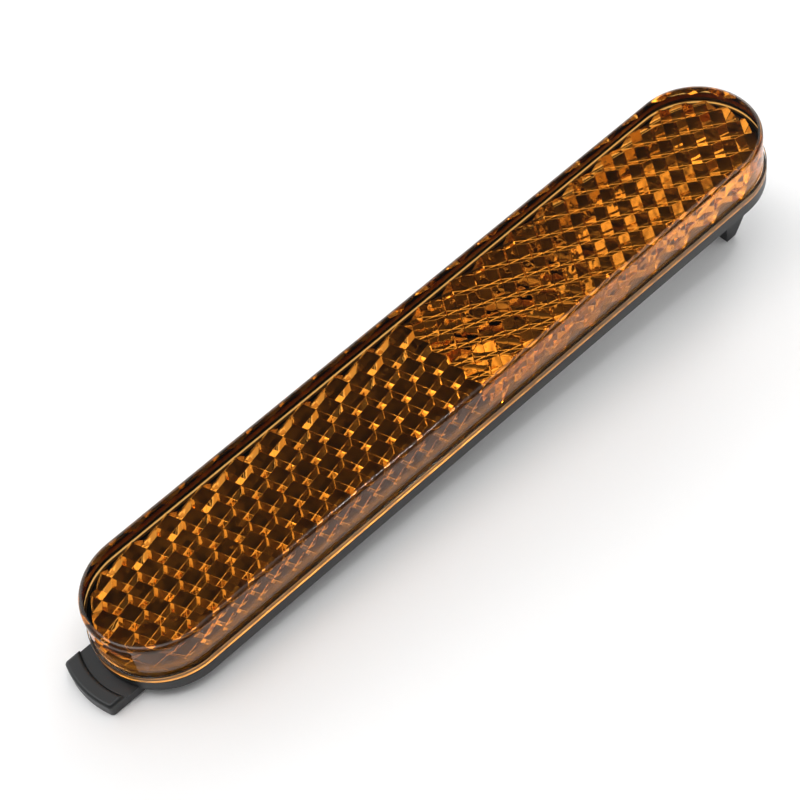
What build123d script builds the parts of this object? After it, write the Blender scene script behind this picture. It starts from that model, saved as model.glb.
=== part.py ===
from build123d import *
from math import acos, cos, radians, sin, sqrt

# Snap-in amber side reflector of a vehicle: a lens with moulded corner-cube reflex pins, welded onto
# a black carrier that hooks in with a tongue at one end and snaps in with a leg at the other.
# Frame: the origin is the centre of the carrier's flat back, +X points to the snap leg's end and
# +Z out of the lens. Millimetres.

# Outline: a stadium, the same for both mouldings
body_length = 120.0
body_width = 20.0

# Carrier: an inner body that drops into the recess, and a rim under the lens flange
back_depth = 1.1  # from the flat back to the underside of the rim
back_inset = 1.6  # inner body stands in from the outline
rim_thickness = 2.0
rim_inset = 0.1  # rim stands in from the lens flange
rim_round = 0.2
core_depth = 1.7  # pockets cored out of the back, between the ribs
back_wall = 1.3  # wall left around the pockets
rib_thickness = 1.2
rib_spacing = 14.0
pocket_round = 0.5

# Lens: a flange, a drafted wall with a rounded top edge, and a cavity for the reflex pins
lens_height = 7.2  # from the flange's underside to the flat top
flange_thickness = 1.2
flange_step = 0.4  # flange stands out from the wall
flange_round = 0.15
wall_thickness = 1.0
wall_draft = 0.5  # degrees
top_edge_radius = 0.7

# Reflex pins: hexagonal, each with three mutually square facets at its tip
pin_side = 1.972  # side of the hexagon
pin_tip_gap = 0.5  # air between the tips and the carrier
pin_overlap = 0.04  # the pins run this far up into the solid lens
lattice_x = -0.85  # centre of one cell
lattice_y = -0.08

# Weld: a rib under the lens in a groove of the carrier
weld_rib_width = 0.6
weld_rib_depth = 0.7
weld_clearance = 0.1
parting_gap = 0.1  # lens flange stands this far above the rim

# Tongue at the -X end, concentric with the round end
tongue_width = 9.8
tongue_reach = 4.1  # beyond the outline
tongue_thickness = 1.4
lip_width = 2.3
lip_rise = 0.7
lip_round = 0.5
tongue_corner = 0.6

# Snap leg at the +X end
leg_inboard = 9.4  # arm's inner face to the +X end of the outline
leg_width = 10.0
leg_length = 10.0
arm_root = 3.0
arm_neck = 2.3  # arm's thickness just above the barb
panel_grip = 3.6  # back face to the catch
barb_reach = 2.2  # beyond the neck
catch_drop = 1.7
barb_land = 0.8
tip_thickness = 1.8
root_round = 0.5
root_pad = 2.0  # the solid end that carries the leg starts this far inboard of it

centre_distance = body_length - body_width
end_centre = centre_distance / 2
rim_top = back_depth + rim_thickness
back_width = body_width - 2 * back_inset
rim_width = body_width - 2 * rim_inset
flange_bottom = rim_top + parting_gap
wall_width = body_width - 2 * flange_step
cavity_width = wall_width - 2 * wall_thickness


def reflex_pin(turn):
    """One pin around the Z axis, its tip down, with facets facing the azimuths turn, +120 and +240."""
    tip_height = rim_top + pin_tip_gap
    cube_edge = pin_side * sqrt(1.5)
    with BuildPart() as pin:
        with BuildSketch(Plane.XY.offset(tip_height)):
            RegularPolygon(pin_side, 6)
        extrude(amount=cube_edge * 2 / sqrt(3) + pin_overlap)
        facet_tilt = acos(1 / sqrt(3))
        for step in range(3):
            azimuth = radians(turn + 120 * step)
            normal = (sin(facet_tilt) * cos(azimuth), sin(facet_tilt) * sin(azimuth), cos(facet_tilt))
            split(bisect_by=Plane((0, 0, tip_height), z_dir=normal), keep=Keep.TOP)
    return pin.part


def lattice_cells():
    """Centres of the hexagonal cells that reach into the lens cavity."""
    column_pitch = 1.5 * pin_side
    row_pitch = sqrt(3) * pin_side
    columns = int(body_length / 2 / column_pitch) + 1
    rows = int(body_width / 2 / row_pitch) + 1
    cells = []
    for column in range(-columns, columns + 1):
        for row in range(-rows, rows + 1):
            x = lattice_x + column * column_pitch
            y = lattice_y + (row + 0.5 * (column % 2)) * row_pitch
            beyond_centre = max(abs(x) - end_centre, 0)
            if sqrt(beyond_centre**2 + y**2) < cavity_width / 2 + pin_side:
                cells.append((x, y))
    return cells


def pins_along(pin, cells):
    """Copies of a pin at the given cells, fused, since neighbours share their whole side faces."""
    with BuildPart() as row:
        with Locations(*cells):
            add(pin)
    return row.part


# The pins' facets face the other way round in the two halves, so that the reflector works from both sides
left_cells = [cell for cell in lattice_cells() if cell[0] < 0]
right_cells = [cell for cell in lattice_cells() if cell[0] >= 0]

with BuildPart() as reflex_field:
    add(pins_along(reflex_pin(0), left_cells))
    add(pins_along(reflex_pin(180), right_cells))
    with BuildSketch(Plane.XY.offset(rim_top)):
        SlotCenterToCenter(centre_distance, cavity_width + wall_thickness)
    extrude(amount=lens_height, mode=Mode.INTERSECT)
ceiling = reflex_field.faces().sort_by(Axis.Z)[-1].center().Z - pin_overlap

with BuildPart() as lens:
    with BuildSketch(Plane.XY.offset(flange_bottom)):
        SlotCenterToCenter(centre_distance, body_width)
    extrude(amount=flange_thickness)
    fillet(lens.edges().group_by(Axis.Z)[-1], flange_round)
    with BuildSketch(Plane.XY.offset(flange_bottom)):
        SlotCenterToCenter(centre_distance, wall_width)
    extrude(amount=lens_height, taper=wall_draft)
    fillet(lens.faces().sort_by(Axis.Z)[-1].edges(), top_edge_radius)
    with BuildSketch(Plane.XY.offset(flange_bottom)):
        SlotCenterToCenter(centre_distance, cavity_width)
    extrude(amount=ceiling - flange_bottom, mode=Mode.SUBTRACT)
    with BuildSketch(Plane.XY.offset(flange_bottom)):
        SlotCenterToCenter(centre_distance, cavity_width + wall_thickness + weld_rib_width)
        SlotCenterToCenter(centre_distance, cavity_width + wall_thickness - weld_rib_width, mode=Mode.SUBTRACT)
    extrude(amount=-weld_rib_depth)
    add(reflex_field.part)

# Carrier
tongue_radius = body_width / 2 + tongue_reach
leg_x = body_length / 2 - leg_inboard

with BuildPart() as carrier:
    with BuildSketch():
        SlotCenterToCenter(centre_distance, back_width)
    extrude(amount=rim_top)
    with BuildSketch(Plane.XY.offset(back_depth)):
        SlotCenterToCenter(centre_distance, rim_width)
    extrude(amount=rim_thickness)
    fillet(carrier.edges().group_by(Axis.Z)[-1], rim_round)

    # weld groove
    with BuildSketch(Plane.XY.offset(rim_top)):
        groove_width = weld_rib_width + 2 * weld_clearance
        SlotCenterToCenter(centre_distance, cavity_width + wall_thickness + groove_width)
        SlotCenterToCenter(centre_distance, cavity_width + wall_thickness - groove_width, mode=Mode.SUBTRACT)
    extrude(amount=parting_gap - weld_rib_depth, mode=Mode.SUBTRACT)

    # tongue with a raised lip round its end
    with BuildSketch():
        with Locations((-end_centre, 0)):
            Circle(tongue_radius)
        with Locations((-end_centre - tongue_radius, 0)):
            Rectangle(2 * (tongue_radius - back_width / 2 + back_wall), tongue_width, mode=Mode.INTERSECT)
        fillet(vertices().group_by(Axis.X)[0], tongue_corner)
    extrude(amount=tongue_thickness)
    with BuildSketch(Plane.XY.offset(tongue_thickness)):
        with Locations((-end_centre, 0)):
            Circle(tongue_radius)
            Circle(tongue_radius - lip_width, mode=Mode.SUBTRACT)
        with Locations((-end_centre - tongue_radius, 0)):
            Rectangle(2 * tongue_radius, tongue_width, mode=Mode.INTERSECT)
        fillet(vertices().group_by(Axis.X)[0], tongue_corner)
    extrude(amount=lip_rise)
    fillet(carrier.faces().filter_by(Axis.Z).sort_by(Axis.X)[0].edges(), lip_round)

    # pockets in the back, between a spine, cross ribs and the solid end that carries the leg
    with BuildSketch():
        SlotCenterToCenter(centre_distance, back_width - 2 * back_wall)
        Rectangle(body_length, rib_thickness, mode=Mode.SUBTRACT)
        rib_count = int(centre_distance / rib_spacing) + 1
        with GridLocations(rib_spacing, 0, rib_count, 1):
            Rectangle(rib_thickness, back_width, mode=Mode.SUBTRACT)
        with Locations((leg_x - root_pad, 0)):
            Rectangle(leg_inboard + root_pad, back_width, align=(Align.MIN, Align.CENTER), mode=Mode.SUBTRACT)
    extrude(amount=core_depth, mode=Mode.SUBTRACT)
    fillet(carrier.edges(Select.LAST).filter_by(Axis.Z), pocket_round)

    # snap leg: an arm with a ramped barb towards the end
    with BuildSketch(Plane.XZ.offset(-leg_width / 2)):
        with BuildLine():
            neck_x = leg_x + arm_neck
            barb_x = neck_x + barb_reach
            barb_height = -panel_grip - catch_drop
            Polyline(
                (leg_x, 0),
                (leg_x, -leg_length),
                (leg_x + tip_thickness, -leg_length),
                (barb_x, barb_height - barb_land),
                (barb_x, barb_height),
                (neck_x, -panel_grip),
                (leg_x + arm_root, 0),
                close=True,
            )
        make_face()
    extrude(amount=leg_width)
    fillet(carrier.edges(Select.LAST).group_by(Axis.Z)[-1], root_round)

lens.part.label = "lens"
carrier.part.label = "carrier"
export_step(lens.part, "parts/lens.step")
export_step(carrier.part, "parts/carrier.step")
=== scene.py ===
import math

import bmesh
import bpy
from mathutils import Matrix, Vector


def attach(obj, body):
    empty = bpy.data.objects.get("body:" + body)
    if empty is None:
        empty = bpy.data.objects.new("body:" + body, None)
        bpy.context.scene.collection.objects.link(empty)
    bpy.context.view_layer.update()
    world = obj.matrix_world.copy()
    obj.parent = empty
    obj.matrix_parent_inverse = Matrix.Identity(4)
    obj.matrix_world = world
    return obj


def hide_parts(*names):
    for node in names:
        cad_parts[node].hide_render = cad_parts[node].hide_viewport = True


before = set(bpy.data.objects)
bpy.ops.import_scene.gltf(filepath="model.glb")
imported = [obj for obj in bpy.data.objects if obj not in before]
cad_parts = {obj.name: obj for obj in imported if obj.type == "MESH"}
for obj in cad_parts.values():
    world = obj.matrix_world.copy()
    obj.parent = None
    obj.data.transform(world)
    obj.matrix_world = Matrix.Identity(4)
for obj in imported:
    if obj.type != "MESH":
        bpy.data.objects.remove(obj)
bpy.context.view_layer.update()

scene = bpy.context.scene
MM = 0.001

# Measures of the mouldings, as in part.py, in millimetres
END_CENTRE = 50.0
BODY_RADIUS = 10.0
CAVITY_RADIUS = 8.6
FLANGE_BOTTOM = 3.2
LENS_HEIGHT = 7.2
PINS_BOTTOM, PINS_TOP = 3.4, 6.6  # the reflex pins' facets lie between these heights

# Amber acrylic
ACRYLIC_IOR = 1.49
ABSORPTION_COLOUR = (0.853, 0.608, 0.02, 1)
ABSORPTION_DENSITY = 20.4  # per metre
SKIN_COLOUR = (1.0, 0.36, 0.04)
# The skin is slightly veiled low on the wall: height above the flange's underside, share let through
HAZE = ((2.1, 1.0), (2.5, 0.72), (3.2, 0.72), (4.2, 1.0))
FACET_WAVES = 500  # waves that the mould leaves in the facets, in a metre
FACET_WAVE_DEPTH = 0.02
FLANGE_COLOUR = (1.0, 0.5, 0.12)
FLANGE_ROUGHNESS = 0.35
SEAT_ROUGHNESS = 0.15

# Black carrier
BLACK = (0.012, 0.013, 0.014)
BLACK_ROUGHNESS = 0.4
GRAIN = 2500  # grains in a metre
GRAIN_DEPTH = 0.03
GRAIN_STRENGTH = 0.15

# Rounding of the lens's facets and of its normals
WELD_DISTANCE = 0.002
FLAT_ANGLE = math.radians(0.6)
FACET_ANGLE = math.radians(20)
SHARP_ANGLE = math.radians(32)
FACET_SLOPE = 0.3  # a facet's normal rises or falls at least this much
WALL_MARGIN = 0.15
FACET_TIP_ROUND = 0.3
FACET_EDGE_ROUND = 0.05
FACE_MARGIN = 0.05
FLANGE_EDGE_DEPTH = 0.02


def material(name, colour, roughness):
    """A new node material: itself, its nodes, its links and its shader."""
    made = bpy.data.materials.new(name)
    made.use_nodes = True
    nodes = made.node_tree.nodes
    shader = nodes["Principled BSDF"]
    shader.inputs["Base Color"].default_value = (*colour, 1)
    shader.inputs["Roughness"].default_value = roughness
    return made, nodes, made.node_tree.links, shader


def object_place(nodes):
    return nodes.new("ShaderNodeTexCoord").outputs["Object"]


def noise_bump(nodes, links, shader, scale, detail, strength, distance):
    """Small unevenness of the surface, scale times in a metre."""
    texture = nodes.new("ShaderNodeTexNoise")
    texture.inputs["Scale"].default_value = scale
    texture.inputs["Detail"].default_value = detail
    links.new(object_place(nodes), texture.inputs["Vector"])
    bump = nodes.new("ShaderNodeBump")
    bump.inputs["Strength"].default_value = strength
    bump.inputs["Distance"].default_value = distance
    links.new(texture.outputs["Fac"], bump.inputs["Height"])
    links.new(bump.outputs["Normal"], shader.inputs["Normal"])


def ramp(nodes, links, value, low, high, stops):
    """A value turned into a grey by stops of (value, grey) between low and high."""
    spread = nodes.new("ShaderNodeMapRange")
    spread.inputs["From Min"].default_value = low
    spread.inputs["From Max"].default_value = high
    links.new(value, spread.inputs["Value"])
    node = nodes.new("ShaderNodeValToRGB")
    links.new(spread.outputs["Result"], node.inputs["Fac"])
    elements = node.color_ramp.elements
    while len(elements) < len(stops):
        elements.new(0.5)
    for element, (at, grey) in zip(elements, stops):
        element.position = (at - low) / (high - low)
        element.color = (grey, grey, grey, 1)
    return node.outputs["Color"]


def acrylic(name, colour, roughness=0.0):
    """A clear surface of the given colour, on acrylic that itself takes out blue and green."""
    made, nodes, links, shader = material(name, colour, roughness)
    shader.inputs["Transmission Weight"].default_value = 1.0
    shader.inputs["IOR"].default_value = ACRYLIC_IOR
    absorption = nodes.new("ShaderNodeVolumeAbsorption")
    absorption.inputs["Color"].default_value = ABSORPTION_COLOUR
    absorption.inputs["Density"].default_value = ABSORPTION_DENSITY
    links.new(absorption.outputs["Volume"], nodes["Material Output"].inputs["Volume"])
    return made, nodes, links, shader


# --- amber acrylic: the outer skin with its colour, and the clear facets behind it
amber_skin, nodes, links, shader = acrylic("amber_skin", SKIN_COLOUR)
place = nodes.new("ShaderNodeSeparateXYZ")
links.new(object_place(nodes), place.inputs["Vector"])
bottom = FLANGE_BOTTOM * MM
top = bottom + LENS_HEIGHT * MM
stops = [(bottom + above * MM, let_through) for above, let_through in HAZE]
haze = ramp(nodes, links, place.outputs["Z"], bottom, top, stops)
links.new(haze, shader.inputs["Transmission Weight"])

amber_facets, nodes, links, shader = acrylic("amber_facets", (1.0, 1.0, 1.0))
noise_bump(nodes, links, shader, FACET_WAVES, 1, 1.0, FACET_WAVE_DEPTH * MM)

# the flange's edge keeps the mould's fine texture
amber_flange = acrylic("amber_flange", FLANGE_COLOUR, FLANGE_ROUGHNESS)[0]

# the flange's seat on the black rim lets no light through, but still mirrors it at a low angle
amber_seat = acrylic("amber_seat", (0.0, 0.0, 0.0), SEAT_ROUGHNESS)[0]

# --- black carrier
black, nodes, links, shader = material("black_plastic", BLACK, BLACK_ROUGHNESS)
noise_bump(nodes, links, shader, GRAIN, 2, GRAIN_STRENGTH, GRAIN_DEPTH * MM)
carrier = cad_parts["carrier"]
carrier.data.materials.clear()
carrier.data.materials.append(black)

# --- lens: the CAD lens with its facets' tips and edges rounded as they come out of the mould
shape = bmesh.new()
shape.from_mesh(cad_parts["lens"].data)
bmesh.ops.remove_doubles(shape, verts=shape.verts, dist=WELD_DISTANCE * MM)
bmesh.ops.recalc_face_normals(shape, faces=shape.faces)
bmesh.ops.dissolve_limit(shape, angle_limit=FLAT_ANGLE, verts=shape.verts, edges=shape.edges)


def from_axis(point):
    """Distance in millimetres from the line between the round ends' centres."""
    return math.hypot(max(abs(point.x) / MM - END_CENTRE, 0), point.y / MM)


def on_pins(vertex):
    inside = from_axis(vertex.co) < CAVITY_RADIUS - WALL_MARGIN
    return PINS_BOTTOM < vertex.co.z / MM < PINS_TOP and inside


def is_facet_edge(edge):
    return (
        len(edge.link_faces) == 2
        and all(on_pins(vertex) for vertex in edge.verts)
        and edge.calc_face_angle() > FACET_ANGLE
        and all(abs(face.normal.z) > FACET_SLOPE for face in edge.link_faces)
    )


def round_off(geometry, offset, segments, affect):
    bmesh.ops.bevel(
        shape,
        geom=geometry,
        offset=offset * MM,
        offset_type="OFFSET",
        segments=segments,
        profile=0.5,
        affect=affect,
        clamp_overlap=True,
    )


facet_tips = [
    vertex
    for vertex in shape.verts
    if len(vertex.link_edges) >= 3 and all(is_facet_edge(edge) for edge in vertex.link_edges)
]
round_off(facet_tips, FACET_TIP_ROUND, 2, "VERTICES")
facet_edges = [edge for edge in shape.edges if is_facet_edge(edge)]
round_off(facet_edges, FACET_EDGE_ROUND, 3, "EDGES")

lens_materials = (amber_skin, amber_facets, amber_flange, amber_seat)
FACETS, FLANGE, SEAT = 1, 2, 3  # places in lens_materials; every other face is skin
for face in shape.faces:
    middle = face.calc_center_median()
    face.smooth = True
    if middle.z / MM < PINS_TOP and from_axis(middle) < CAVITY_RADIUS + FACE_MARGIN:
        face.material_index = FACETS
    elif middle.z / MM < FLANGE_BOTTOM + FACE_MARGIN:
        face.material_index = SEAT
    elif from_axis(middle) > BODY_RADIUS - FLANGE_EDGE_DEPTH:
        face.material_index = FLANGE
for edge in shape.edges:
    edge.smooth = len(edge.link_faces) != 2 or edge.calc_face_angle() < SHARP_ANGLE
mesh = bpy.data.meshes.new("lens_moulding")
shape.to_mesh(mesh)
shape.free()
for made in lens_materials:
    mesh.materials.append(made)
lens = bpy.data.objects.new("lens_moulding", mesh)
scene.collection.objects.link(lens)
flat_first = lens.modifiers.new("flat faces first", "WEIGHTED_NORMAL")
flat_first.keep_sharp = True
flat_first.weight = 60
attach(lens, "root")
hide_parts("lens")

# --- floor: the part lies on the tongue's edge and the leg's tip, (x, z) in metres
TONGUE_EDGE = (-0.0641, 0.0)
LEG_TIP = (0.0506, -0.01)
FLOOR_HALF = 20.0
FLOOR_GAP = 0.00005  # keeps the floor clear of the tongue's edge
PAPER = (0.93, 0.93, 0.93)
PAPER_ROUGHNESS = 0.7
PAPER_SPECULAR = 0.2
PAPER_LIFT = 0.05
mesh = bpy.data.meshes.new("floor")
corners = [(x * FLOOR_HALF, y * FLOOR_HALF, 0) for x, y in ((-1, -1), (1, -1), (1, 1), (-1, 1))]
mesh.from_pydata(corners, [], [(0, 1, 2, 3)])
floor = bpy.data.objects.new("floor", mesh)
scene.collection.objects.link(floor)
pitch = math.atan2(TONGUE_EDGE[1] - LEG_TIP[1], LEG_TIP[0] - TONGUE_EDGE[0])
floor.rotation_euler = (0, pitch, 0)
floor.location = (TONGUE_EDGE[0], 0, TONGUE_EDGE[1] - FLOOR_GAP)
paper, nodes, links, shader = material("floor_paper", PAPER, PAPER_ROUGHNESS)
shader.inputs["Specular IOR Level"].default_value = PAPER_SPECULAR
# seen directly, mirrored or through the lens, the paper is a little brighter than it is lit, but
# this lights nothing
rays = nodes.new("ShaderNodeLightPath")
seen = rays.outputs["Is Camera Ray"]
for other in ("Is Glossy Ray", "Is Transmission Ray"):
    either = nodes.new("ShaderNodeMath")
    either.operation = "MAXIMUM"
    links.new(seen, either.inputs[0])
    links.new(rays.outputs[other], either.inputs[1])
    seen = either.outputs["Value"]
lift = nodes.new("ShaderNodeMath")
lift.operation = "MULTIPLY"
lift.inputs[1].default_value = PAPER_LIFT
links.new(seen, lift.inputs[0])
links.new(lift.outputs["Value"], shader.inputs["Emission Strength"])
shader.inputs["Emission Color"].default_value = (1, 1, 1, 1)
mesh.materials.append(paper)

# --- camera at the photograph's angle; lengths in millimetres
TILT = math.radians(53.065)
TURN = math.radians(31.434)
ROLL = math.radians(-13.816)
DISTANCE = 293.646
SHIFT_RIGHT, SHIFT_UP = 6.53, 1.338
IMAGE_SIZE = 800
PIXELS_PER_MM = 7.347
SENSOR = 36
right = Vector((math.cos(TURN), -math.sin(TURN), 0))
up = Vector((math.sin(TILT) * math.sin(TURN), math.sin(TILT) * math.cos(TURN), math.cos(TILT)))
back = right.cross(up)
aim = Vector((0, 0, FLANGE_BOTTOM)) - SHIFT_RIGHT * right - SHIFT_UP * up
rolled_right = math.cos(ROLL) * right + math.sin(ROLL) * up
rolled_up = -math.sin(ROLL) * right + math.cos(ROLL) * up
camera = bpy.data.objects.new("camera", bpy.data.cameras.new("camera"))
scene.collection.objects.link(camera)
camera.matrix_world = Matrix.LocRotScale(
    (aim + DISTANCE * back) * MM, Matrix((rolled_right, rolled_up, back)).transposed(), None
)
camera.data.sensor_width = SENSOR
camera.data.lens = PIXELS_PER_MM * DISTANCE / IMAGE_SIZE * SENSOR
camera.data.clip_start = 0.01
scene.camera = camera

# --- surroundings: a studio that is bright on the far side and overhead, and dark low on the
# camera's side. Azimuths, elevations and radii are in degrees.
BRIGHTEST = 4
# (sine of the elevation, brightness)
FAR_SIDE = ((0.0, 1.6), (0.3, 1.8), (0.6, 1.6), (0.78, 1.3), (0.9, 1.6), (1.0, 1.3))
NEAR_SIDE = ((0.0, 0.03), (0.4, 0.08), (0.65, 0.1), (0.75, 0.5), (0.93, 0.9), (1.0, 1.3))
FAR_AZIMUTH = 60
SIDE_CHANGE = (-0.1, 0.6)  # cosines with FAR_AZIMUTH where the far side starts and is full
# azimuth, elevation, radius of the full part, radius of the whole, brightness
SOFT_BOXES = (
    (-35, 45, 8, 18, 2.0),
    (135, 66, 8, 20, 2.5),
    (30, 17, 5, 14, 3.0),
    (-140, 76, 5, 15, 1.5),
    (-37, 69, 1.5, 3.5, 30.0),
)
# black cards where the flat top mirrors the studio to the camera, and round the camera itself,
# which the corner cubes show: azimuth, elevation, radius of the full part, radius of the whole
CARDS = ((58, 53, 10, 18), (-121, 53, 6, 13))
CARD_LEAVES = 0.05
LEVEL = 0.95

world = bpy.data.worlds.new("surroundings")
scene.world = world
world.use_nodes = True
nodes, links = world.node_tree.nodes, world.node_tree.links
towards = nodes.new("ShaderNodeTexCoord").outputs["Generated"]
direction = nodes.new("ShaderNodeSeparateXYZ")
links.new(towards, direction.inputs["Vector"])


def math_node(operation, first, second):
    node = nodes.new("ShaderNodeMath")
    node.operation = operation
    for socket, value in zip(node.inputs, (first, second)):
        if isinstance(value, (int, float)):
            socket.default_value = value
        else:
            links.new(value, socket)
    return node.outputs["Value"]


def facing(azimuth, elevation, low, high, to_min, to_max):
    """Goes smoothly from to_min to to_max as the cosine with this direction goes from low to high."""
    azimuth, elevation = math.radians(azimuth), math.radians(elevation)
    along = nodes.new("ShaderNodeVectorMath")
    along.operation = "DOT_PRODUCT"
    along.inputs[1].default_value = (
        math.cos(elevation) * math.cos(azimuth),
        math.cos(elevation) * math.sin(azimuth),
        math.sin(elevation),
    )
    links.new(towards, along.inputs[0])
    change = nodes.new("ShaderNodeMapRange")
    change.interpolation_type = "SMOOTHSTEP"
    change.inputs["From Min"].default_value = low
    change.inputs["From Max"].default_value = high
    change.inputs["To Min"].default_value = to_min
    change.inputs["To Max"].default_value = to_max
    links.new(along.outputs["Value"], change.inputs["Value"])
    return change.outputs["Result"]


def spot(azimuth, elevation, core, reach, outside, inside):
    """Goes smoothly from outside to inside between two radii round a direction."""
    low, high = math.cos(math.radians(reach)), math.cos(math.radians(core))
    return facing(azimuth, elevation, low, high, outside, inside)


far, near = (
    ramp(nodes, links, direction.outputs["Z"], 0, 1, [(at, bright / BRIGHTEST) for at, bright in side])
    for side in (FAR_SIDE, NEAR_SIDE)
)
far_part = facing(FAR_AZIMUTH, 0, *SIDE_CHANGE, 0, BRIGHTEST)
near_part = facing(FAR_AZIMUTH, 0, *SIDE_CHANGE, BRIGHTEST, 0)
total = math_node("ADD", math_node("MULTIPLY", far, far_part), math_node("MULTIPLY", near, near_part))
for *place, brightness in SOFT_BOXES:
    total = math_node("ADD", total, spot(*place, 0, brightness))
for card in CARDS:
    total = math_node("MULTIPLY", total, spot(*card, 1, CARD_LEAVES))
total = math_node("MULTIPLY", total, LEVEL)
links.new(total, nodes["Background"].inputs["Strength"])
nodes["Background"].inputs["Color"].default_value = (1, 1, 1, 1)

scene.cycles.max_bounces = 24
scene.cycles.transmission_bounces = 24
scene.cycles.glossy_bounces = 16
scene.view_settings.view_transform = "Standard"
